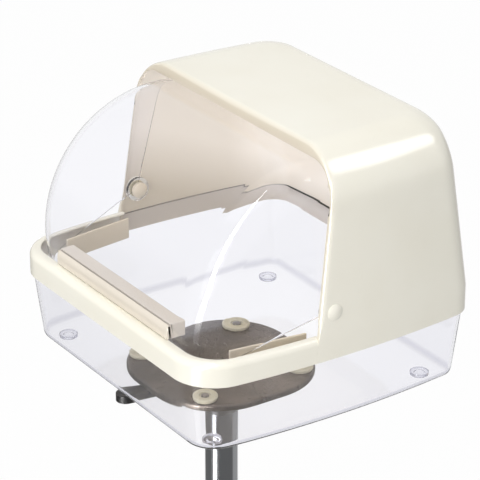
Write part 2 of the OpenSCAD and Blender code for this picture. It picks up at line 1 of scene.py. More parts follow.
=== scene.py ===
"""Looks of a hooded box unit: an ivory hood, a clear visor and tray, a steel plate and a swivelling column.

Lengths are in metres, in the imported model's frame: +Z is up and -Y is the front, where the visor is.
"""

import json
import math

import bmesh
import bpy
import numpy as np
from bpy.props import FloatProperty, FloatVectorProperty, PointerProperty
from bpy.types import Operator, Panel, PropertyGroup
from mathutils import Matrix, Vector
from numpy import cos, linspace, sin

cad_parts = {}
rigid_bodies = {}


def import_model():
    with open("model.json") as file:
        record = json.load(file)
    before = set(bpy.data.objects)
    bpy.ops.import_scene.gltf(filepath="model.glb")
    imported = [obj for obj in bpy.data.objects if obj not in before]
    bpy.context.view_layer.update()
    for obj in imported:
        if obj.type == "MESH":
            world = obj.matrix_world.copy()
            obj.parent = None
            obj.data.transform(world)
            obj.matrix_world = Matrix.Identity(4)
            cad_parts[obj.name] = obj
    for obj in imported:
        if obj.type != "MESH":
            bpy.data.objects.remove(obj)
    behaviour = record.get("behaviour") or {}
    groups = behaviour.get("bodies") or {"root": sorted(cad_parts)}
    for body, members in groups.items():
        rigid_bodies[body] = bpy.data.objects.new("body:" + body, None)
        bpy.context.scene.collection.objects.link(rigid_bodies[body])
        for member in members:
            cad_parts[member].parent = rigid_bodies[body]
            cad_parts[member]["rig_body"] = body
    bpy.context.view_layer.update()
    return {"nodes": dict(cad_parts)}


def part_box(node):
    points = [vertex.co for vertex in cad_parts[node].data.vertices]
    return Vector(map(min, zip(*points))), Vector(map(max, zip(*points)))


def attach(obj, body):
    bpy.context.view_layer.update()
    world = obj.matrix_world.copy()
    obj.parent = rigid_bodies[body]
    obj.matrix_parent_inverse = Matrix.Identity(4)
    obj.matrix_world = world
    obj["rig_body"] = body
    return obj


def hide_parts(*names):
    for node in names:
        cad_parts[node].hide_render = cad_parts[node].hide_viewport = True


bl_info = {
    "name": "Hooded box unit",
    "version": (1, 0, 0),
    "blender": (4, 5, 0),
    "location": "View3D > Sidebar > Hooded box",
    "description": "Builds an ivory hood with a clear visor and tray on a plate and a swivelling column",
    "category": "Add Mesh",
}

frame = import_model()
HOOD_LOW, HOOD_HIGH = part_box("hood_shell")
TRAY_LOW, TRAY_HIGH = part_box("tray")
FEET_LOW, FEET_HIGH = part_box("tray_feet")
HANDLE_LOW, HANDLE_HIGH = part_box("visor_handle")
PIN_LOW, PIN_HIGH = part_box("pivot_pin_right")
COVER_LOW, COVER_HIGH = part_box("pivot_cover_right")
CAP_LOW, CAP_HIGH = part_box("pivot_cap_right")
PLATE_LOW, PLATE_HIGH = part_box("mounting_plate")
PAD_LOW, PAD_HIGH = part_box("plate_pads")
COLUMN_LOW, COLUMN_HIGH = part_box("column_tube")
WASHER_LOW, WASHER_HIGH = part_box("pivot_washer_right")

RIM_Z = HOOD_LOW.z
HOOD_H = HOOD_HIGH.z - HOOD_LOW.z
MID_Y = (HOOD_LOW.y + HOOD_HIGH.y) / 2
HALF_D = (HOOD_HIGH.y - HOOD_LOW.y) / 2
PIVOT_Y = (PIN_LOW.y + PIN_HIGH.y) / 2
PIVOT_Z = (PIN_LOW.z + PIN_HIGH.z) / 2
PIN_R = PIN_HIGH.z - PIVOT_Z
PIVOT = (0, PIVOT_Y, PIVOT_Z)
ALONG_X, ALONG_Z = (1, 0, 0), (0, 0, 1)
MM = 0.001
HUB_OUT = WASHER_LOW.x - 0.15 * MM


# ---------- what a user may change ----------

def number(name, description, default, **more):
    return FloatProperty(name=name, description=description, default=default, **more)


def length(name, description, millimetres):
    """A length property, whose default is given in millimetres."""
    return number(name, description, millimetres * MM, unit="LENGTH", subtype="DISTANCE", precision=5)


def angle(name, description, degrees):
    """An angle property, whose default is given in degrees."""
    return number(name, description, math.radians(degrees), unit="ROTATION", subtype="ANGLE")


def share(name, description, default):
    """A number from 0 to 1."""
    return number(name, description, default, min=0, max=1, subtype="FACTOR")


def colour(name, description, code):
    """A colour property, whose default is written as six hexadecimal digits and turned to linear light."""
    parts = [int(code[i:i + 2], 16) / 255 for i in (0, 2, 4)]
    default = [v / 12.92 if v <= 0.04045 else ((v + 0.055) / 1.055) ** 2.4 for v in parts] + [1.0]
    return FloatVectorProperty(name=name, description=description, default=default, size=4,
                               min=0, max=1, subtype="COLOR")


class BoxSizes(PropertyGroup):
    """Plan of the whole box."""
    half_width: length("Half width", "Half the width at the corners", 170)
    bow: length("Side bow", "How far each side wall bows out", 11.5)
    corner: length("Front corners", "Plan radius of the front corners", 40)
    back_corner: length("Back corners", "Plan radius of the back corners", 26)


class HoodSizes(PropertyGroup):
    """Hood, its arch and the band round its rim."""
    wall: length("Wall", "Wall thickness", 3)
    side_r: length("Side radius", "Radius of the roof's long edges", 52)
    back_r: length("Back radius", "Radius of the roof's back edge", 18)
    side_lean: length("Side lean", "How far each side wall leans in", 9)
    back_lean: length("Back lean", "How far the back wall leans in", 25)
    arch_low: length("Arch at the rim", "From the pivots forward to the arch", 22)
    arch_top: length("Arch at the roof", "The same, at the roof", -4.5)
    rim_top: length("Rim under the roof", "Height of the arch's rim under the roof", 12)
    rim_side: length("Rim at the sides", "Width of the arch's rim at the sides", 4.2)
    rim_t: length("Rim thickness", "Thickness of the arch's rim", 3.5)
    rim_r: length("Rim corner", "Corner radius of the opening in it", 32)
    arch_edge: length("Arch edge", "Radius of the arch's outer edge", 5)
    band_h: length("Band height", "Height of the band round the front", 25)
    band_side: length("Band at the sides", "Width of the band's top at the sides", 9.5)
    band_front: length("Band at the front", "Width of the band's top at the front", 13)
    band_edge: length("Band edge", "Radius of the band's outer edge", 7)


class TraySizes(PropertyGroup):
    """Clear tray and its feet."""
    wall: length("Wall", "Wall thickness", 3)
    draft: length("Draft", "How far the walls draw in at the floor", 8.5)
    edge: length("Lower edge", "Radius between walls and floor", 10)
    inset: length("Inset", "From the hood's outer face in to the tray's", 3.3)
    foot_r: length("Foot radius", "Radius of each foot", 9.5)


class VisorSizes(PropertyGroup):
    """Clear visor and its pivots."""
    radius: length("Radius", "Radius of the drum about its pivots", 136)
    wall: length("Wall", "Wall thickness", 2.5)
    corner: length("Corner radius", "Radius between the drum and the side walls", 36)
    tilt: angle("Side tilt", "Tilt of the side walls from upright", 10)
    low: angle("Lower edge", "Angle of the lower edge below straight ahead", 18)
    top: angle("Rear edge", "Angle of the rear edge above straight ahead", 98)
    hub_r: length("Hub radius", "Radius of the hubs and of the bosses beside them", 13)
    cover_r: length("Cover radius", "Radius of the domed covers and caps", 8.5)
    dome_h: length("Dome height", "Height of the domes", 3)


class HandleSizes(PropertyGroup):
    """Handle of the visor."""
    top_r: length("Top edge", "Radius of the top front edge", 8)
    edge: length("Edges", "Radius of the other edges", 1.5)


class PlateSizes(PropertyGroup):
    """Mounting plate and its pads."""
    corner: length("Corner radius", "Corner radius of the plate", 70)
    thickness: length("Thickness", "Thickness of the steel", 3)
    edge: length("Edge radius", "Radius of the plate's upper edge", 2.6)
    pad_r: length("Pad radius", "Radius of the pads", 14)
    recess_r: length("Recess radius", "Radius of the pads' recess", 6)


class ColumnSizes(PropertyGroup):
    """Column tube."""
    bore_r: length("Bore radius", "Inner radius of the tube", 13.5)
    spigot_r: length("Spigot radius", "Radius of the spigot at the lower end", 15.5)
    spigot_len: length("Spigot length", "Length of the spigot", 50)


class Finishes(PropertyGroup):
    """Colours and gloss."""
    ivory: colour("Ivory", "Plastic of the hood", "F1EEE2")
    ivory_deep: colour("Deep ivory", "Deeper tone in it", "EDE9DB")
    # Painted light and shade inside the hood: a pale lit tone high up and a warm painted shade low down
    ivory_painted_light: colour("Inside ivory", "Plastic high inside the hood", "F8F1E6")
    ivory_painted_shade: colour("Low inside ivory", "Plastic low inside the hood", "D3C8B4")
    trim: colour("Trim", "Plastic of the handle", "DFD6C8")
    trim_deep: colour("Deep trim", "Plastic of the rails and the inner caps", "DDD1BC")
    clear: colour("Clear plastic", "Tint of the clear plastic", "FCFCFE")
    # Darker tint where clear plastic is seen edge on: partly the longer path through it, partly painted shade
    clear_edge_shade: colour("Clear plastic, edges", "Its tint where it is seen edge on", "CBCBD6")
    steel: colour("Plate steel", "Satin steel of the plate", "7B736B")
    steel_dark: colour("Plate steel, dark", "Darker tone in it", "554D47")
    chrome: colour("Chrome", "Chromed tube", "D6D8DB")
    zinc: colour("Zinc", "Zinc-plated screws and bolts", "B9BABB")
    black: colour("Black plastic", "Plastic of the grip", "1B1A1A")
    pad: colour("Pad rubber", "Rubber of the pads", "D9D2B4")
    bearing: colour("Bearing", "Washers", "D8CDA8")
    ivory_gloss: share("Ivory roughness", "Roughness of the ivory plastic", 0.16)
    steel_gloss: share("Steel roughness", "Roughness of the plate", 0.32)
    # Painted light: an emission high inside the hood that stands in for light let through the shell
    painted_glow: share("Inside glow", "Light let through high inside the hood", 0.14)


class StageSettings(PropertyGroup):
    """Camera and light."""
    azimuth: angle("Azimuth", "Angle of the camera to the right of the front", 56.1)
    elevation: angle("Elevation", "Angle of the camera above the horizon", 24.6)
    distance: length("Distance", "Distance from the camera to its aim", 2460)
    aim: FloatVectorProperty(name="Aim", description="Point that the camera looks at",
                             default=(-2.9 * MM, 25 * MM, 371.8 * MM), unit="LENGTH", subtype="TRANSLATION")
    lens: number("Lens", "Focal length of the camera", 184.5, unit="CAMERA")
    world: share("World light", "Strength of the light from all round", 0.62)
    key: number("Key light", "Power of the upper softbox", 10, unit="POWER")
    fill: number("Fill light", "Power of the side softbox", 14, unit="POWER")
    glint: number("Glints", "Brightness of the softboxes in gloss", 8)


class HoodedBoxSettings(PropertyGroup):
    """All sizes and finishes of the unit."""
    box: PointerProperty(type=BoxSizes)
    hood: PointerProperty(type=HoodSizes)
    tray: PointerProperty(type=TraySizes)
    visor: PointerProperty(type=VisorSizes)
    handle: PointerProperty(type=HandleSizes)
    plate: PointerProperty(type=PlateSizes)
    column: PointerProperty(type=ColumnSizes)
    finish: PointerProperty(type=Finishes)
    stage: PointerProperty(type=StageSettings)


def settings():
    return bpy.context.scene.hooded_box


# ---------- curves and grids ----------

def arc(start, end, steps):
    """Angles from start to end, given in degrees, as steps + 1 numbers in radians."""
    return np.radians(linspace(start, end, steps + 1))


def column_of(values):
    """Numbers as a column, which combines with a row of another parameter."""
    return np.asarray(values, float).reshape(-1, 1)


def joined(*parts):
    """Arrays joined along their first axis."""
    return np.concatenate(parts)


def beside(*parts):
    """Arrays joined along their second axis."""
    return np.concatenate(parts, 1)


def filleted(corners, closed=False, steps=6):
    """Path through corners (a, b, radius), each rounded by an arc, whose centre lies on the corner's
    bisector at radius / sin(half angle)."""
    points = np.array([c[:2] for c in corners], float)
    path = []
    for i, (_, _, radius) in enumerate(corners):
        if radius <= 0 or (not closed and i in (0, len(corners) - 1)):
            path.append(points[i:i + 1])
            continue
        ways = [points[i - 1] - points[i], points[(i + 1) % len(corners)] - points[i]]
        to_last, to_next = (way / np.linalg.norm(way) for way in ways)
        half = math.acos(np.clip(to_last @ to_next, -1, 1)) / 2
        bisector = to_last + to_next
        centre = points[i] + bisector / np.linalg.norm(bisector) * radius / math.sin(half)
        first, last = (points[i] + way * radius / math.tan(half) - centre for way in (to_last, to_next))
        turn = math.pi - 2 * half
        t = column_of(linspace(0, 1, steps + 1))
        path.append(centre + (sin((1 - t) * turn) * first + sin(t * turn) * last) / math.sin(turn))
    return np.concatenate(path)


def inset_loop(loop, depth):
    """Closed clockwise loop moved inwards, once for each depth: each point goes along the normal of the
    chord between its neighbours."""
    chord = np.roll(loop, -1, axis=0) - np.roll(loop, 1, axis=0)
    normal = np.stack([chord[:, 1], -chord[:, 0]], -1) / np.linalg.norm(chord, axis=1)[:, None]
    return loop[None] + normal[None] * np.asarray(depth).reshape(-1, 1, 1)


def bow_at(y):
    """Bow of the side wall at distance y from the middle: bow * (1 - (y / half depth) squared)."""
    return settings().box.bow * (1 - (y / HALF_D) ** 2)


def half_u(z, open_y, end, in_side, in_end, corner, steps=(28, 14, 22)):
    """Right half of a bowed, rounded rectangle's outline, from its open end to the middle of its front
    (end = -1) or back (end = 1), with a row for each height z. Along the side x is the half width W, the
    corner is an arc, and x is then multiplied by 1 + bow(y) / W."""
    z, open_y, in_side, in_end, corner = (
        column_of(v) for v in np.broadcast_arrays(z, open_y, in_side, in_end, corner))
    along, turning, across = steps
    width = settings().box.half_width - in_side
    end_y = end * (HALF_D - in_end)
    corner_y = end_y - end * corner
    t = linspace(0, 1, along + 1)[:-1]
    a = arc(0, 90, turning)
    s = linspace(1, 0, across + 1)[1:]
    x = beside(width + 0 * t, width - corner + corner * cos(a), (width - corner) * s)
    y = beside(
        open_y + (corner_y - open_y) * t,
        corner_y + end * corner * sin(a),
        end_y + 0 * s,
    )
    return np.stack([x * (1 + bow_at(y) / width), y + MID_Y, z + RIM_Z + 0 * x], -1)


def half_ring(z, inset):
    """Right half of the whole outline, from the middle of the front to the middle of the back. The corner
    radii shrink with the inset, down to 4 mm."""
    box = settings().box
    front, back = (half_u(z, 0, end, inset, inset, np.maximum(corner - inset, 4 * MM), (20, 14, 22))
                   for end, corner in ((-1, box.corner), (1, box.back_corner)))
    return beside(front[:, ::-1], back[:, 1:])


def turned(profile, origin, axis, steps=64):
    """Profile of (radius, height) points turned about an axis: origin + height * axis + radius * (cos t,
    sin t) in the plane across it."""
    axis = np.array(axis, float)
    side = np.roll(axis, 1)
    up = np.cross(axis, side)
    t = linspace(0, 2 * math.pi, steps + 1)[:-1]
    round_it = cos(t)[None, :, None] * side + sin(t)[None, :, None] * up
    profile = np.asarray(profile, float)
    return np.array(origin, float) + profile[:, 1, None, None] * axis + profile[:, 0, None, None] * round_it


# ---------- meshes ----------

class Shell:
    """Gathers grids of points into one mesh, whose seams and poles are merged at the end."""

    def __init__(self):
        self.points, self.faces, self.tones, self.count = [], [], [], 0

    def grid(self, points, loop_rows=False, loop_columns=False, cap_rows=(), cap_columns=(), tone=0.0):
        """Adds a grid of points with a face between each four neighbours. A looped direction closes on
        itself, and a capped row or column gets one flat face. The tone is for the material."""
        rows, columns = points.shape[:2]
        self.tones.append(np.broadcast_to(tone, (rows, columns)).ravel())
        index = np.arange(rows * columns).reshape(rows, columns) + self.count
        caps = [index[i].tolist() for i in cap_rows] + [index[:, i].tolist() for i in cap_columns]
        if loop_rows:
            index = joined(index, index[:1])
        if loop_columns:
            index = beside(index, index[:, :1])
        quads = np.stack([index[:-1, :-1], index[1:, :-1], index[1:, 1:], index[:-1, 1:]], -1)
        self.faces += quads.reshape(-1, 4).tolist() + caps
        self.points.append(points.reshape(-1, 3))
        self.count += rows * columns
        return self

    def both_sides(self, points, **ends):
        """Adds a grid and its mirror image across x = 0."""
        return self.grid(points, **ends).grid(points * [-1, 1, 1], **ends)

    def mesh(self, name, sharp):
        """The finished mesh: doubles merged, faces outwards, smooth up to the sharp angle."""
        mesh = bpy.data.meshes.new(name)
        mesh.from_pydata(np.concatenate(self.points).tolist(), [], self.faces)
        tone = mesh.attributes.new("tone", "FLOAT", "POINT")
        tone.data.foreach_set("value", np.concatenate(self.tones).astype(np.float32))
        work = bmesh.new()
        work.from_mesh(mesh)
        bmesh.ops.remove_doubles(work, verts=work.verts, dist=0.002 * MM)
        bmesh.ops.dissolve_degenerate(work, edges=work.edges, dist=0.0005 * MM)
        bmesh.ops.recalc_face_normals(work, faces=work.faces)
        work.to_mesh(mesh)
        work.free()
        smooth(mesh, sharp)
        return mesh

    def place(self, name, sharp, material, node, slot):
        return place(name, self.mesh(name, sharp), material, node)


def smooth(mesh, sharp):
    """Smooth shading, but for edges of more than an angle in degrees."""
    mesh.shade_smooth()
    mesh.set_sharp_from_angle(angle=math.radians(sharp))


def paint(mesh, material):
    mesh.materials.clear()
    mesh.materials.append(material)


def link(piece):
    bpy.context.scene.collection.objects.link(piece)
    return piece


def place(name, mesh, material, node):
    """Makes the mesh a piece that stands for the CAD node: it takes the material and rides on its body, and
    the node is hidden.
    """
    piece = link(bpy.data.objects.new(name, mesh))
    paint(mesh, material)
    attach(piece, frame["nodes"][node]["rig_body"])
    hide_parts(node)
    return piece


def softened(node, material, edge):
    """A copy of a CAD node with flat facets joined, sharp edges rounded and smooth curves."""
    sharp = 35
    mesh = frame["nodes"][node].data.copy()
    work = bmesh.new()
    work.from_mesh(mesh)
    bmesh.ops.remove_doubles(work, verts=work.verts, dist=0.005 * MM)
    bmesh.ops.dissolve_limit(work, angle_limit=math.radians(0.5), verts=work.verts, edges=work.edges)
    work.to_mesh(mesh)
    work.free()
    smooth(mesh, sharp)
    bevel = place(node + "_rounded", mesh, material, node).modifiers.new("Rounded edges", "BEVEL")
    bevel.width = edge
    bevel.segments = 3
    bevel.limit_method = "ANGLE"
    bevel.angle_limit = math.radians(sharp)
    bevel.harden_normals = True


def keep(material, *nodes):
    """Gives CAD nodes that stay a material."""
    for node in nodes:
        paint(frame["nodes"][node].data, material)


# ---------- materials ----------

class Value:
    """A number socket. An expression on it adds Math nodes."""

    def __init__(self, shader, socket):
        self.shader, self.socket = shader, socket

    def math(self, operation, first, second=0.0):
        return self.shader.add("ShaderNodeMath", {0: first, 1: second}, operation=operation)

    def __add__(self, other): return self.math("ADD", self, other)
    def __radd__(self, other): return self.math("ADD", other, self)
    def __sub__(self, other): return self.math("SUBTRACT", self, other)
    def __rsub__(self, other): return self.math("SUBTRACT", other, self)
    def __mul__(self, other): return self.math("MULTIPLY", self, other)
    def __rmul__(self, other): return self.math("MULTIPLY", other, self)
    def at_least(self, other): return self.math("MAXIMUM", self, other)


class Shader:
    """Node tree of a material or world, built from Python expressions."""

    def __init__(self, owner):
        owner.use_nodes = True
        self.owner, self.tree = owner, owner.node_tree
        self.tree.nodes.clear()

    def node(self, kind, sockets, **options):
        """Adds a node: its options are set first, then the values or links of its sockets."""
        node = self.tree.nodes.new(kind)
        for key, value in options.items():
            setattr(node, key, value)
        for key, value in sockets.items():
            if isinstance(value, Value):
                self.tree.links.new(value.socket, node.inputs[key])
            else:
                node.inputs[key].default_value = value
        return node

    def add(self, kind, sockets, output=0, **options):
        """Adds a node and hands out one of its outputs."""
        return Value(self, self.node(kind, sockets, **options).outputs[output])

    def ray(self, kind):
        """Whether the ray is of a kind."""
        return self.add("ShaderNodeLightPath", {}, kind)

    def tone(self):
        """The tone kept on the mesh's points: 0 where a piece has none."""
        return self.add("ShaderNodeAttribute", {}, "Fac", attribute_name="tone")

    def noise(self, scale, detail, stretch=(1, 1, 1)):
        """Cloudy pattern from 0 to 1 in stretched Object coordinates, with scale repeats per metre."""
        where = self.add("ShaderNodeTexCoord", {}, "Object")
        where = self.add("ShaderNodeMapping", {"Vector": where, "Scale": stretch})
        return self.add("ShaderNodeTexNoise", {"Vector": where, "Scale": scale, "Detail": detail})

    def spread(self, value, low, high, to_low=0.0, to_high=1.0):
        """Value from low to high carried over to to_low and to_high, and held outside them."""
        return self.add("ShaderNodeMapRange", {
            "Value": value, "From Min": low, "From Max": high, "To Min": to_low, "To Max": to_high})

    def blend(self, factor, first, second):
        """Colour between first and second."""
        return self.add("ShaderNodeMix", {0: factor, 6: first, 7: second}, 2, data_type="RGBA")

    def clouds(self, scale, first, second):
        """Two colours in soft clouds."""
        return self.blend(self.spread(self.noise(scale, 3), 0.3, 0.7), first, second)

    def bump(self, height, strength, distance):
        """Normal bent by a height pattern, whose depth is distance in metres."""
        return self.add("ShaderNodeBump", {"Height": height, "Strength": strength, "Distance": distance})

    def mix(self, factor, first, second):
        """Surface between first and second."""
        return self.add("ShaderNodeMixShader", {0: factor, 1: first, 2: second})

    def principled(self, sockets):
        return self.add("ShaderNodeBsdfPrincipled", sockets)

    def show(self, surface):
        self.node("ShaderNodeOutputMaterial", {"Surface": surface})
        return self.owner


def finish(fill):
    """Turns a function that fills a Shader into one that makes its material once and hands it out."""
    name = "finish_" + fill.__name__

    def made():
        if name not in bpy.data.materials:
            fill(Shader(bpy.data.materials.new(name)), settings().finish)
        return bpy.data.materials[name]

    return made


def scaled(tone, factor):
    """A colour made darker or lighter by a factor."""
    return tuple(min(c * factor, 1.0) for c in tone[:3]) + (1.0,)


def glossy_moulding(s, f, tone, sockets):
    """Glossy moulding in a tone, with faint swirls of flow, a fine orange peel and a thin coat."""
    swirls = s.spread(s.noise(60, 4, (1, 1, 0.2)), 0.35, 0.75, 0, 0.05)
    peel = s.noise(420, 2)
    s.show(s.principled({
        "Base Color": tone,
        "Roughness": swirls + f.ivory_gloss,
        "IOR": 1.4,
        "Coat Weight": 0.15,
        "Coat Roughness": 0.08,
        "Normal": s.bump(peel, 0.06, 0.4 * MM),
        **sockets,
    }))


@finish
def ivory_plastic(s, f):
    """Ivory moulding of the hood: two close tones in broad clouds. Inside, where the points' tone climbs from
    0.5 to 1, it goes from a warm painted shade to a pale painted light, and high up a painted emission stands
    in for light coming through the thin shell."""
    # high is the share of painted light: 0 for the painted shade low inside, 1 for the painted light high up
    high = s.spread(s.tone(), 0.5, 1)
    inside = s.blend(high, f.ivory_painted_shade, f.ivory_painted_light)
    tone = s.blend(s.spread(s.tone(), 0, 0.5), s.clouds(9, f.ivory, f.ivory_deep), inside)
    glossy_moulding(s, f, tone, {
        # Painted light: an emission in the pale tone, strongest high inside the hood
        "Emission Color": s.blend(high, (0, 0, 0, 1), f.ivory_painted_light), "Emission Strength": f.painted_glow})


@finish
def trim_plastic(s, f):
    """Ivory moulding of the handle."""
    glossy_moulding(s, f, s.clouds(12, f.trim, scaled(f.trim, 0.95)), {})


@finish
def rail_plastic(s, f):
    """Warmer ivory moulding of the guide rails and the inner caps."""
    glossy_moulding(s, f, s.clouds(12, f.trim_deep, scaled(f.trim_deep, 0.95)), {})


@finish
def clear_plastic(s, f):
    """Clear moulding: tinted glass with faint smears and a shallow waviness, which lets lamps through."""
    smears = s.spread(s.noise(14, 4, (1, 1, 0.5)), 0.5, 0.8, 0.0, 0.05)
    waves = s.noise(22, 1.5)
    glass = s.principled({
        # The tone paints the darker edge tint: partly the longer path through the plastic, partly painted
        # shade
        "Base Color": s.blend(s.tone(), f.clear, f.clear_edge_shade),
        "Roughness": smears + 0.01,
        "IOR": 1.3,
        "Transmission Weight": 1.0,
        "Normal": s.bump(waves, 0.05, 1 * MM),
    })
    lamp = s.ray("Is Shadow Ray").at_least(s.ray("Is Diffuse Ray"))
    s.show(s.mix(lamp, glass, s.add("ShaderNodeBsdfTransparent", {"Color": f.clear})))


def metal(s, tone, second_tone, roughness, grain, stretch, depth=0.02):
    """Metal with two close tones and a stretched grain, whose depth is in millimetres."""
    lines = s.noise(grain, 3, stretch)
    s.show(s.principled({
        "Base Color": s.clouds(25, tone, second_tone),
        "Metallic": 1.0,
        "Roughness": s.spread(lines, 0.3, 0.7, roughness * 0.8, roughness * 1.25),
        "Normal": s.bump(lines, 0.1, depth * MM),
    }))


@finish
def plate_steel(s, f):
    metal(s, f.steel, f.steel_dark, f.steel_gloss, 300, (1, 1, 0.1))


@finish
def head_steel(s, f):
    metal(s, scaled(f.zinc, 0.75), scaled(f.zinc, 0.6), f.steel_gloss, 300, (1, 1, 0.1))


@finish
def chrome(s, f):
    metal(s, f.chrome, scaled(f.chrome, 0.95), 0.14, 250, (1, 1, 0.02), 0.001)


@finish
def zinc(s, f):
    metal(s, f.zinc, f.steel, 0.3, 500, (1, 1, 1))


def moulded(s, tone, factor, roughness, grain):
    """Moulded plastic or rubber: clouds of its tone scaled by a factor, a fine grain and an uneven gloss."""
    fine = s.noise(grain, 3)
    s.show(s.principled({
        "Base Color": s.clouds(40, tone, scaled(tone, factor)),
        "Roughness": s.spread(fine, 0.2, 0.8, roughness * 0.85, roughness * 1.15),
        "Normal": s.bump(fine, 0.15, 0.15 * MM),
    }))


@finish
def black_plastic(s, f):
    moulded(s, f.black, 1.8, 0.4, 1500)


@finish
def pad_rubber(s, f):
    moulded(s, f.pad, 0.9, 0.5, 1200)


@finish
def bearing(s, f):
    moulded(s, f.bearing, 0.9, 0.35, 900)


# ---------- hood ----------

def lean_at(z):
    """Share of the lean reached at height z above the rim: none up to the band, then straight."""
    band = settings().hood.band_h
    return np.maximum(z - band, 0) / (HOOD_H - band)


def round_in(z, top, radius):
    """Inset of a quarter-round edge that ends at top: r - sqrt(r squared - (z - (top - r)) squared)."""
    rise = np.clip(z - (top - radius), 0, radius)
    return radius - np.sqrt(radius ** 2 - rise ** 2)


def arch_y(z):
    """Distance of the arch's plane from the middle of the box, at height z above the rim."""
    hood = settings().hood
    return PIVOT_Y - MID_Y - hood.arch_low + (hood.arch_low - hood.arch_top) / HOOD_H * z


def hood_face(depth, ahead, z_wall, a, f):
    """Right half of the hood's face at a depth inside its outer face, from a distance ahead of the arch to
    the middle of the back. Its rows climb the wall at heights z_wall, turn over the roof's edge by angle a,
    and then shrink by factor f onto the middle of the roof's front edge."""
    hood = settings().hood
    top = HOOD_H - depth
    z = joined(z_wall, top - (hood.side_r - depth) * (1 - sin(a)))
    in_side = depth + hood.side_lean * lean_at(z) + round_in(z, top, hood.side_r - depth)
    in_back = depth + hood.back_lean * lean_at(z) + round_in(z, top, hood.back_r - depth)
    walls = half_u(z, arch_y(z) + ahead, 1, in_side, in_back, settings().box.back_corner - depth)
    pole = walls[-1:, :1] * [0, 1, 1]
    roof = pole + (walls[-1:] - pole) * f[:, None, None]
    return joined(walls, roof)


def arch_opening(z_wall, a, f):
    """Edge of the opening inside the arch's rim, in the same rows as hood_face: x is the half width less the
    rim, and the corners turn on the rim's own radius."""
    hood = settings().hood
    top = HOOD_H - hood.rim_top
    z = joined(z_wall, top - hood.rim_r * (1 - sin(a)))
    in_side = hood.rim_side + round_in(z, top, hood.rim_r) + hood.side_lean * lean_at(z)
    x = settings().box.half_width - in_side + bow_at(arch_y(z))
    edge = np.stack([x, arch_y(z) + MID_Y, z + RIM_Z], -1)
    roof = edge[-1] * [0, 1, 1] + (edge[-1] * [1, 0, 0]) * f[:, None]
    return joined(edge, roof)


def arch_lip(outer_edge, opening, radius):
    """Front of the arch between the outer face and the opening. Its section turns on a quarter round, runs
    straight in the arch's plane and turns back over a small edge. Points are outer edge + q * inward + p *
    backward, for the section's (p, q)."""
    hood = settings().hood
    inward = opening - outer_edge
    width = np.linalg.norm(inward, axis=1)[:, None]
    inward = inward / width
    radius = radius[:, None]
    small = 0.8 * MM
    a = arc(0, 90, 8)[1:]
    p = beside(
        radius * (1 - sin(a)), 0 * width, small * (1 - cos(a)) + 0 * width, hood.rim_t + 0 * width)
    q = beside(
        radius * (1 - cos(a)), (width + radius - small) / 2, width - small + small * sin(a), width)
    bow_slope = -2 * settings().box.bow * (outer_edge[:, 1] - MID_Y) / HALF_D ** 2 * np.sign(outer_edge[:, 0])
    backward = np.stack([bow_slope, np.ones(len(p)), np.zeros(len(p))], -1)
    return outer_edge[:, None] + q[:, :, None] * inward[:, None] + p[:, :, None] * backward[:, None]


def inside_painted_light(path):
    """Painted light and shade on the hood's inner face, worked out in millimetres. Its tone climbs with
    height from
    0.5, a painted shade, to 1, a painted light, lower down towards the back, and stops short on the side
    walls."""
    x, y, z = np.moveaxis(path / MM, -1, 0)
    start, climb, lower_behind = 55, 70, 0.42
    high = np.clip((z - RIM_Z / MM - start + lower_behind * y) / climb, 0, 1)
    on_side = np.clip((x - 110) / 40, 0, 1) * np.clip((155 - y) / 30, 0, 1)
    return 0.5 + 0.5 * high * (1 - 0.3 * on_side)


def build_hood():
    """Hood shell: outer face, arch lip and inner face in one closed surface, with the band and bosses. The
    arch's edge is sharp at the band and grows to its full radius above it."""
    hood = settings().hood
    band = hood.band_h
    grows_over, sharpest = 18 * MM, 0.04
    shoulder = HOOD_H - hood.side_r
    z_wall = joined(linspace(0, band, 6), linspace(band, shoulder, 24)[1:-1])
    a = arc(0, 90, 26)
    f = linspace(1, 0, 14)[1:]
    z_rows = joined(z_wall, np.full(len(a), shoulder))
    edge = hood.arch_edge * np.clip((z_rows - band) / grows_over, sharpest, 1)
    outer = hood_face(0, edge, z_wall, a, f)
    edge = joined(edge, np.full(len(f), hood.arch_edge))
    inner = hood_face(hood.wall, hood.rim_t, z_wall, a, f)
    lip = arch_lip(hood_face(0, 0, z_wall, a, f)[:, 0], arch_opening(z_wall, a, f), edge)
    path = beside(outer[:, ::-1], lip, inner)
    inside = joined(
        np.zeros(outer.shape[1]), linspace(0, 1, lip.shape[1]), np.ones(inner.shape[1]))
    # The inner face's tone carries the painted shade and painted light inside the hood
    shell = Shell().both_sides(path, cap_rows=[0], tone=inside * inside_painted_light(path))
    add_band(shell)
    add_bosses(shell)
    shell.place("hood", 40, ivory_plastic(), "hood_shell", "cream_plastic")


def add_band(shell):
    """Band round the front: an upright wall with a rounded top that turns inwards. Each point of the section
    is a ring with its own inset at the sides and in front."""
    hood = settings().hood
    wall, height, edge = hood.wall, hood.band_h, hood.band_edge
    turn = arc(0, 90, 10)
    lip = arc(0, 180, 8)
    rise = joined(
        [0, height * 0.35, height - edge],
        (height - edge + edge * sin(turn))[1:],
        height - wall / 2 + wall / 2 * cos(lip),
        [height - wall, 0],
    )
    even = joined(
        [0, 0, 0], (edge - edge * cos(turn))[1:], np.full(len(lip), edge), [wall, wall])
    before_lip, after_lip = np.zeros(3 + len(turn) - 1), [0, 0]
    reach = joined(before_lip, np.ones(len(lip)), after_lip)
    bulge = joined(before_lip, wall / 2 * (sin(lip) - 1), after_lip)
    in_side = even + reach * (hood.band_side - edge) + bulge
    in_front = even + reach * (hood.band_front - edge) + bulge
    tuck = np.where(even > 0, 2 * MM, 0)
    corner = settings().box.corner - in_side
    ring = half_u(rise, arch_y(rise) + tuck, -1, in_side, in_front, corner, (16, 16, 24))
    shell.both_sides(ring, loop_rows=True, cap_columns=[0])


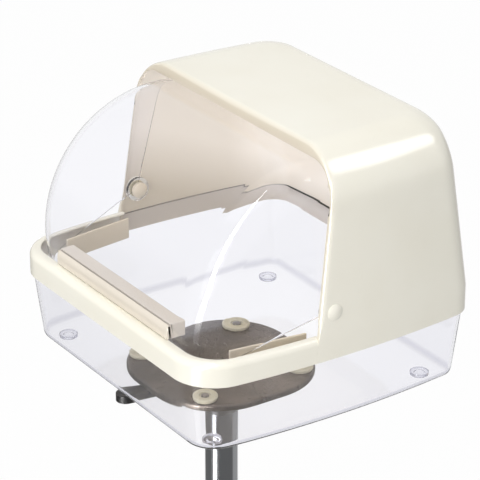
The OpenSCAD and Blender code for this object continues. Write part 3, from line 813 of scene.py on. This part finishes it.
def add_bosses(shell):
    """Low round boss on each inner side wall at the pivots, on which the washer sits."""
    boss_r, face, seat = settings().visor.hub_r, WASHER_HIGH.x, COVER_LOW.x
    profile = filleted([
        (PIN_R, seat, 0), (PIN_R, face, 0.2 * MM), (boss_r, face, 0.5 * MM), (boss_r, seat, 0)], steps=4)
    shell.both_sides(turned(profile, PIVOT, ALONG_X), loop_rows=True, loop_columns=True)


# ---------- tray ----------

def build_tray():
    """Clear tray: a section carried round the outline, from the middle of the floor's underside up the
    drafted wall, over the rim and back down inside. The tone marks the lower edge and the rim, which are
    seen edge on, with a darker tint: partly the longer path through the plastic, partly painted shade."""
    tray = settings().tray
    floor, top = TRAY_LOW.z - RIM_Z, TRAY_HIGH.z - RIM_Z
    half_wall = tray.wall / 2
    a = arc(90, 0, 12)
    over = arc(0, 180, 6)[1:-1]

    def face(depth):
        radius = tray.edge - depth
        z = joined(floor + depth + radius * (1 - sin(a)), [0, top - half_wall])
        inset = joined(
            tray.inset + tray.draft + depth + radius * (1 - cos(a)), [tray.inset + depth] * 2)
        return z, inset

    outer_z, outer_in = face(0)
    inner_z, inner_in = face(tray.wall)
    z = joined(outer_z, top - half_wall + half_wall * sin(over), inner_z[::-1])
    inset = joined(outer_in, tray.inset + half_wall * (1 - cos(over)), inner_in[::-1])
    ring = half_ring(z, inset)
    centre = np.array([0, MID_Y, 0])

    def floor_of(row):
        flat = centre + row[None] * [0, 0, 1]
        return flat + (row[None] - flat) * np.array([0, 0.3, 0.6, 0.85])[:, None, None]

    path = joined(floor_of(ring[0]), ring, floor_of(ring[-1])[::-1])
    row = np.arange(len(inset))
    # Masks of the darker edge tint at the lower edge and the rim, partly painted shade
    low_edge_shade = np.exp(-((row - len(a) * 0.55) / 4) ** 2)
    rim_edge_shade = np.exp(-((row - len(outer_z) - 2) / 2.5) ** 2)
    tone = joined(np.zeros(4), np.maximum(low_edge_shade, rim_edge_shade), np.zeros(4))
    shell = Shell().both_sides(path, tone=tone[:, None])
    shell.place("clear_tray", 40, clear_plastic(), "tray", "clear_plastic")


def build_feet():
    """Four clear feet: round studs with a shallow dimple, which end a hair under the tray's floor."""
    r = settings().tray.foot_r
    x, y = FEET_HIGH.x - r, FEET_HIGH.y - MID_Y - r
    low, high = FEET_LOW.z, FEET_HIGH.z - 0.05 * MM
    dimple = low + 1.2 * MM
    profile = filleted([
        (0, high, 0), (r, high, 0.3 * MM), (r, low, 1.2 * MM), (r * 0.62, low, 0.4 * MM),
        (r * 0.45, dimple, 0.8 * MM), (0, dimple, 0)])
    # Darker tint at the rim, seen edge on: partly the longer path through the plastic, partly painted shade
    edge = np.exp(-((profile[:, 0] - r) / MM) ** 2)
    shell = Shell()
    for side_x in (-x, x):
        for side_y in (-y, y):
            foot = turned(profile, (side_x, MID_Y + side_y, 0), ALONG_Z)
            shell.grid(foot, loop_columns=True, tone=edge[:, None])
    shell.place("clear_feet", 40, clear_plastic(), "tray_feet", "clear_plastic")


# ---------- visor ----------

def visor_section(inset):
    """Right half of the visor's section at each inset from its outer face, as radii and x: along the drum,
    round the corner arc, and down the tilted side wall to the pivots' axis."""
    v = settings().visor
    inset = column_of(inset)
    corner_c = v.radius - v.corner
    tangent_r = corner_c + v.corner * math.sin(v.tilt)
    corner_x = HUB_OUT - tangent_r * math.tan(v.tilt) - v.corner * math.cos(v.tilt)
    a = linspace(0, math.pi / 2 - v.tilt, 15)
    t = linspace(0, 1, 24)[:-1]
    s = linspace(1, 0, 14)[1:]
    arc_r = corner_c + (v.corner - inset) * cos(a)
    arc_x = corner_x + (v.corner - inset) * sin(a)
    end_x = HUB_OUT - inset / math.cos(v.tilt)
    radius = beside(v.radius - inset + 0 * t, arc_r, arc_r[:, -1:] * s)
    x = beside(corner_x * t + 0 * inset, arc_x, end_x + (arc_x[:, -1:] - end_x) * s)
    return radius, x


def build_visor():
    """Clear visor: its section is turned about the pivots' axis. A point at angle t above straight ahead is
    (x, pivot y - radius * cos t, pivot z + radius * sin t). The two faces draw together over the last degree
    at each end, which rounds its edge."""
    v = settings().visor
    a = arc(0, 90, 5)
    edge = v.wall / 2
    ext = edge / v.radius
    middle = linspace(-v.low + ext, v.top - ext, 84)
    t = column_of(joined(
        -v.low + ext * (1 - sin(a))[::-1][:-1], middle, v.top - ext * (1 - sin(a))[1:]))
    closing = edge * (1 - cos(a))
    inset = joined(closing[::-1][:-1], 0 * middle, closing[1:]) * 0.96
    radius, x = (beside(outer, inner[:, ::-1])
                 for outer, inner in zip(visor_section(inset), visor_section(v.wall - inset)))
    path = np.stack([x, PIVOT_Y - radius * cos(t), PIVOT_Z + radius * sin(t)], -1)
    shell = Shell().both_sides(path, cap_rows=[0, -1])
    hub_in = HUB_OUT - 5 * MM
    hole = PIN_R + 0.05 * MM
    hub = filleted([
        (hole, HUB_OUT, 0), (v.hub_r, HUB_OUT, 0.6 * MM), (v.hub_r, hub_in, 0.8 * MM), (hole, hub_in, 0)])
    shell.both_sides(turned(hub, PIVOT, ALONG_X), loop_rows=True, loop_columns=True)
    shell.place("clear_visor", 40, clear_plastic(), "visor", "clear_plastic")


def build_handle():
    """Handle: a bar with a large top front radius, whose two halves clamp the drum between them. Each half is
    a section carried along X, which draws in on a quarter round at each end."""
    v, h = settings().visor, settings().handle
    low, high, front, back = HANDLE_LOW.z, HANDLE_HIGH.z, HANDLE_LOW.y, HANDLE_HIGH.y
    fit = 0.05 * MM
    outer, inner = v.radius + fit, v.radius - v.wall - fit
    t = arc(0, 90, 90)
    brow = np.stack([front + h.top_r * (1 - cos(t)), high - h.top_r * (1 - sin(t))], -1)
    away = np.linalg.norm(brow - [PIVOT_Y, PIVOT_Z], axis=1)
    ahead, behind = brow[away > outer], brow[away < inner]

    def on_drum(radius, first, last):
        z = linspace(first, last, 12)
        return np.stack([PIVOT_Y - np.sqrt(radius ** 2 - (z - PIVOT_Z) ** 2), z], -1)

    down, up = on_drum(outer, ahead[-1, 1], low), on_drum(inner, low, behind[0, 1])
    foot = filleted([(*down[-1], 0), (front, low, h.edge), (*ahead[0], 0)])
    heel = filleted([(*behind[-1], 0), (back, high, h.edge), (back, low, h.edge), (*up[0], 0)])
    a = arc(0, 90, 6)[1:]
    along = linspace(0, HANDLE_HIGH.x - h.edge, 30)
    x = joined(along, HANDLE_HIGH.x - h.edge + h.edge * sin(a))
    depth = joined(0 * along, h.edge * (1 - cos(a)))
    shell = Shell()
    for half in ([foot[:-1], ahead, down[1:-1]], [heel[:-1], up, behind[1:-1]]):
        sections = inset_loop(np.concatenate(half), depth)
        path = np.concatenate([x[:, None, None] + 0 * sections[:, :, :1], sections], -1)
        shell.both_sides(path, loop_columns=True, cap_rows=[-1])
    shell.place("handle", 35, trim_plastic(), "visor_handle", "cream_plastic")


def dome(radius, height):
    """Profile of a low dome, from edge to top: a cap of a ball of radius (r squared + h squared) / (2 h)."""
    ball = (radius ** 2 + height ** 2) / (2 * height)
    t = linspace(math.asin(radius / ball), 0, 11)
    return np.stack([ball * sin(t), height - ball + ball * cos(t)], -1)


def build_pivots():
    """Domed covers outside the hood and domed caps inside the visor. The covers bulge outwards and the caps
    inwards, each from a flat back."""
    v = settings().visor
    curve = dome(v.cover_r, v.dome_h)
    kinds = (("cover", COVER_LOW.x, COVER_HIGH.x - v.dome_h, 1, ivory_plastic()),
             ("cap", CAP_HIGH.x, CAP_LOW.x + v.dome_h, -1, rail_plastic()))
    for side, sign in (("left", -1), ("right", 1)):
        for name, back, front, bulge, tone in kinds:
            profile = joined([(0, back), (v.cover_r, back)], curve * [1, bulge] + [0, front])
            shell = Shell().grid(turned(profile, PIVOT, ALONG_X) * [sign, 1, 1], loop_columns=True)
            shell.place(f"domed_{name}_{side}", 50, tone, f"pivot_{name}_{side}", "cream_plastic")
    keep(chrome(), "pivot_pin_left", "pivot_pin_right")
    keep(bearing(), "pivot_washer_left", "pivot_washer_right")


# ---------- plate and column ----------

def plate_ring(z, inset):
    """Right half of a square with large round corners, from the middle of its front to the middle of its
    back: straight sides between quarter circles."""
    z, inset = column_of(z), column_of(inset)
    half = PLATE_HIGH.x - inset
    r = settings().plate.corner - inset
    straight = half - r
    s = linspace(0, 1, 11)[:-1]
    a, b = arc(-90, 0, 16), arc(0, 90, 16)
    t = linspace(-1, 1, 11)[1:-1]
    x = beside(
        straight * s, straight + r * cos(a), half + 0 * t, straight + r * cos(b), straight * s[::-1])
    y = beside(
        -half + 0 * s, -straight + r * sin(a), straight * t, straight + r * sin(b), half + 0 * s)
    return np.stack([x, y, z + 0 * x], -1)


def build_plate():
    """Mounting plate: a section carried round the outline, across the top, over the rounded edge, down the
    skirt, round its lip and back up."""
    p = settings().plate
    top, low, thick = PLATE_HIGH.z, PLATE_LOW.z, p.thickness
    near_middle, lip = p.corner * 0.98, thick * 0.45
    section = filleted([
        (near_middle, top, 0), (0, top, p.edge), (0, low, lip), (thick, low, lip),
        (thick, top - thick, 0.6 * MM), (near_middle, top - thick, 0)], steps=8)
    ring = plate_ring(section[:, 1], section[:, 0])
    path = joined(ring[:1] * [0, 0, 1], ring, ring[-1:] * [0, 0, 1])
    Shell().both_sides(path).place("steel_plate", 40, plate_steel(), "mounting_plate", "plate_steel")


def build_pads():
    """Four rubber pads: a round pad with soft edges, a rolled ring round its recess and a hole."""
    p = settings().plate
    low, high = PAD_LOW.z, PAD_HIGH.z
    edge, hole_r, seat = 1.6 * MM, 2.2 * MM, high - 2.2 * MM
    reach = PAD_HIGH.x - p.pad_r
    profile = filleted([
        (hole_r, low, 0.1 * MM), (p.pad_r - 0.8 * MM, low, 0.5 * MM), (p.pad_r, high, edge),
        (p.recess_r, high, 0.9 * MM), (p.recess_r, seat, 0.3 * MM), (hole_r, seat, 0.1 * MM)],
        closed=True)
    shell = Shell()
    for x in (-reach, reach):
        for y in (-reach, reach):
            shell.grid(turned(profile, (x, y, 0), ALONG_Z), loop_rows=True, loop_columns=True)
    shell.place("rubber_pads", 50, pad_rubber(), "plate_pads", "pad_rubber")


def build_column():
    """Column tube: outer face with a stepped spigot, chamfered ends, and its bore."""
    c = settings().column
    low, high = COLUMN_LOW.z, COLUMN_HIGH.z
    radius, bevel = COLUMN_HIGH.x, 0.8 * MM
    profile = [
        (c.bore_r, low), (c.spigot_r - bevel, low), (c.spigot_r, low + bevel), (c.spigot_r, c.spigot_len),
        (radius - bevel, c.spigot_len), (radius, c.spigot_len + bevel), (radius, high), (c.bore_r, high)]
    shell = Shell().grid(turned(profile, (0, 0, 0), ALONG_Z, 128), loop_rows=True, loop_columns=True)
    shell.place("chrome_tube", 30, chrome(), "column_tube", "chrome")


# ---------- operators ----------

class HOODEDBOX_OT_hood(Operator):
    """Build the ivory hood with its band and the guide rails inside it"""
    bl_idname = "hooded_box.hood"
    bl_label = "Hood and guide rails"

    def execute(self, context):
        build_hood()
        for side in ("left", "right"):
            softened("guide_rail_" + side, rail_plastic(), 1.2 * MM)
        return {"FINISHED"}


class HOODEDBOX_OT_tray(Operator):
    """Build the clear tray and its feet"""
    bl_idname = "hooded_box.tray"
    bl_label = "Tray and feet"

    def execute(self, context):
        build_tray()
        build_feet()
        return {"FINISHED"}


class HOODEDBOX_OT_visor(Operator):
    """Build the clear visor"""
    bl_idname = "hooded_box.visor"
    bl_label = "Visor"

    def execute(self, context):
        build_visor()
        return {"FINISHED"}


class HOODEDBOX_OT_handle(Operator):
    """Build the visor's handle and finish its screws"""
    bl_idname = "hooded_box.handle"
    bl_label = "Handle"

    def execute(self, context):
        build_handle()
        softened("handle_screws", zinc(), 0.3 * MM)
        return {"FINISHED"}


class HOODEDBOX_OT_pivots(Operator):
    """Build the domed covers and caps and finish the pins and washers"""
    bl_idname = "hooded_box.pivots"
    bl_label = "Pivots"

    def execute(self, context):
        build_pivots()
        return {"FINISHED"}


class HOODEDBOX_OT_plate(Operator):
    """Build the steel plate and its pads, screws and nuts"""
    bl_idname = "hooded_box.plate"
    bl_label = "Plate and pads"

    def execute(self, context):
        build_plate()
        build_pads()
        softened("pad_screws", zinc(), 0.4 * MM)
        softened("pad_nuts", zinc(), 0.3 * MM)
        return {"FINISHED"}


class HOODEDBOX_OT_column(Operator):
    """Build the chrome column and finish the plug, plunger and washer inside it"""
    bl_idname = "hooded_box.column"
    bl_label = "Column"

    def execute(self, context):
        build_column()
        keep(zinc(), "column_plug", "release_plunger")
        keep(bearing(), "thrust_washer")
        return {"FINISHED"}


class HOODEDBOX_OT_head(Operator):
    """Build the swivel head with its bolts"""
    bl_idname = "hooded_box.head"
    bl_label = "Swivel head"

    def execute(self, context):
        softened("swivel_head", head_steel(), 0.5 * MM)
        softened("flange_bolts", zinc(), 0.4 * MM)
        return {"FINISHED"}


class HOODEDBOX_OT_lever(Operator):
    """Build the release lever and its grip and finish its pin"""
    bl_idname = "hooded_box.lever"
    bl_label = "Release lever"

    def execute(self, context):
        softened("lever_bar", plate_steel(), 0.6 * MM)
        softened("lever_grip", black_plastic(), 1.5 * MM)
        keep(zinc(), "lever_pin")
        return {"FINISHED"}


# ---------- stage ----------

def aimed(name, data, aim, azimuth, elevation, distance):
    """Object that looks at a point from a distance, at an azimuth to the right of the front."""
    level = math.cos(elevation)
    back = Vector((math.sin(azimuth) * level, -math.cos(azimuth) * level, math.sin(elevation)))
    thing = link(bpy.data.objects.new(name, data))
    thing.location = Vector(aim) + back * distance
    thing.rotation_euler = (-back).to_track_quat("-Z", "Y").to_euler()
    return thing


def build_camera():
    s = settings().stage
    data = bpy.data.cameras.new("camera")
    data.lens = s.lens
    data.sensor_width = 36
    data.clip_end = 50
    bpy.context.scene.camera = aimed("camera", data, s.aim, s.azimuth, s.elevation, s.distance)


def softbox(name, azimuth, elevation, distance, size, power):
    """Lamp that shines at the middle of the object. Its angles are in degrees."""
    data = bpy.data.lights.new(name, "AREA")
    data.shape = "RECTANGLE"
    data.size, data.size_y = size
    data.energy = power
    lamp = aimed(name, data, (0, MID_Y, RIM_Z), math.radians(azimuth), math.radians(elevation), distance)
    lamp.visible_glossy = False


def ray_kinds(s):
    """Whether a ray comes from the eye, straight or through clear plastic, and whether it comes off gloss."""
    through = s.ray("Is Transmission Ray")
    return s.ray("Is Camera Ray").at_least(through), s.ray("Is Glossy Ray") * (1 - through)


def build_floor():
    """Large floor, which shows white with a faint shadow and lights the object as pale card does. Gloss sees
    the room's panels in its place."""
    half = 20
    shell = Shell().grid(np.array([[(x, y, 0) for x in (-half, half)] for y in (-half, half)], float))
    floor = link(bpy.data.objects.new("floor", shell.mesh("floor", 30)))
    s = Shader(bpy.data.materials.new("floor"))
    seen, gloss = ray_kinds(s)
    card = s.add("ShaderNodeBsdfDiffuse", {"Color": (0.8, 0.8, 0.8, 1)})
    white = s.add("ShaderNodeEmission", {"Color": (1, 1, 1, 1), "Strength": 1.0})
    pale = s.mix(seen * 0.97, card, white)
    paint(floor.data, s.show(s.mix(gloss, pale, s.add("ShaderNodeBsdfTransparent", {}))))


def room_tone(s):
    """Brightness of the room that gloss shows, by azimuth and elevation in degrees. It is white above the
    horizon, but for a greyer part on the left. Below it is grey, with a dark panel on each side and a light
    one at the rear. A tall softbox leans from low in front to high beside the camera, and a wide one stands
    behind."""
    where = s.add("ShaderNodeTexCoord", {}, "Generated")
    x, y, z = (s.add("ShaderNodeSeparateXYZ", {0: where}, i) for i in range(3))
    azimuth = x.math("ARCTAN2", x, 0 - y) * math.degrees(1)
    elevation = z.math("ARCSINE", z) * math.degrees(1)

    def near(value, middle, half, soft):
        """1 within half of the middle and 0 away from it, with an edge of twice soft."""
        away = value - middle
        return s.spread(away.math("ABSOLUTE", away), half - soft, half + soft, 1.0, 0.0)

    left, right, rear = near(azimuth, -56, 40, 4), near(azimuth, 87, 56, 6), near(azimuth, -130, 22, 8)
    low = 0.38 - left * 0.22 - right * 0.23 + rear * 0.45
    high = 1 - near(azimuth, -75, 50, 12) * near(elevation, 15, 45, 10) * 0.25
    climb = s.spread(elevation, -4, 6)
    lean = s.spread(elevation, -45, 0, -5, 34) + s.spread(elevation, 0, 64, 0, 7)
    tall = near(azimuth, lean, s.spread(elevation, -20, 5, 9, 6), 1.5)
    wide = near(azimuth, 151, 16, 3) * near(elevation, 46, 10, 2)
    glint = settings().stage.glint
    softboxes = tall * s.spread(elevation, -28, -8, glint * 0.35, glint * 5) + wide * glint
    return (low * (1 - climb) + high * climb).at_least(0.02) + softboxes


def build_world():
    """Plain light from all round. What the eye and the clear plastic see of it is white."""
    world = bpy.data.worlds.new("world")
    bpy.context.scene.world = world
    s = Shader(world)
    seen, gloss = ray_kinds(s)

    def background(strength):
        return s.add("ShaderNodeBackground", {"Color": (1, 1, 1, 1), "Strength": strength})

    lit = s.mix(gloss, background(settings().stage.world), background(room_tone(s)))
    s.node("ShaderNodeOutputWorld", {"Surface": s.mix(seen, lit, background(1.0))})


class HOODEDBOX_OT_stage(Operator):
    """Set up the camera, the softboxes, the pale floor and the world"""
    bl_idname = "hooded_box.stage"
    bl_label = "Stage"

    def execute(self, context):
        s = settings().stage
        build_camera()
        softbox("key", 8, 74, 1.6, (1.6, 1.1), s.key)
        softbox("fill", 31, 16, 1.8, (1.2, 1.2), s.fill)
        build_floor()
        build_world()
        context.scene.view_settings.view_transform = "Standard"
        return {"FINISHED"}


OPERATORS = (
    HOODEDBOX_OT_hood, HOODEDBOX_OT_tray, HOODEDBOX_OT_visor, HOODEDBOX_OT_handle, HOODEDBOX_OT_pivots,
    HOODEDBOX_OT_plate, HOODEDBOX_OT_column, HOODEDBOX_OT_head, HOODEDBOX_OT_lever, HOODEDBOX_OT_stage,
)


class HOODEDBOX_PT_panel(Panel):
    """Sidebar panel that lists the operators"""
    bl_idname = "HOODEDBOX_PT_panel"
    bl_label = "Hooded box unit"
    bl_space_type = "VIEW_3D"
    bl_region_type = "UI"
    bl_category = "Hooded box"

    def draw(self, context):
        for operator in OPERATORS:
            self.layout.operator(operator.bl_idname)


CLASSES = (
    BoxSizes, HoodSizes, TraySizes, VisorSizes, HandleSizes, PlateSizes, ColumnSizes, Finishes,
    StageSettings, HoodedBoxSettings, *OPERATORS, HOODEDBOX_PT_panel,
)


def register():
    for cls in CLASSES:
        bpy.utils.register_class(cls)
    bpy.types.Scene.hooded_box = PointerProperty(type=HoodedBoxSettings)


def unregister():
    del bpy.types.Scene.hooded_box
    for cls in reversed(CLASSES):
        bpy.utils.unregister_class(cls)


def main():
    """Builds everything in order."""
    register()
    for operator in OPERATORS:
        getattr(bpy.ops.hooded_box, operator.bl_idname.split(".")[1])()


if __name__ == "__main__":
    main()
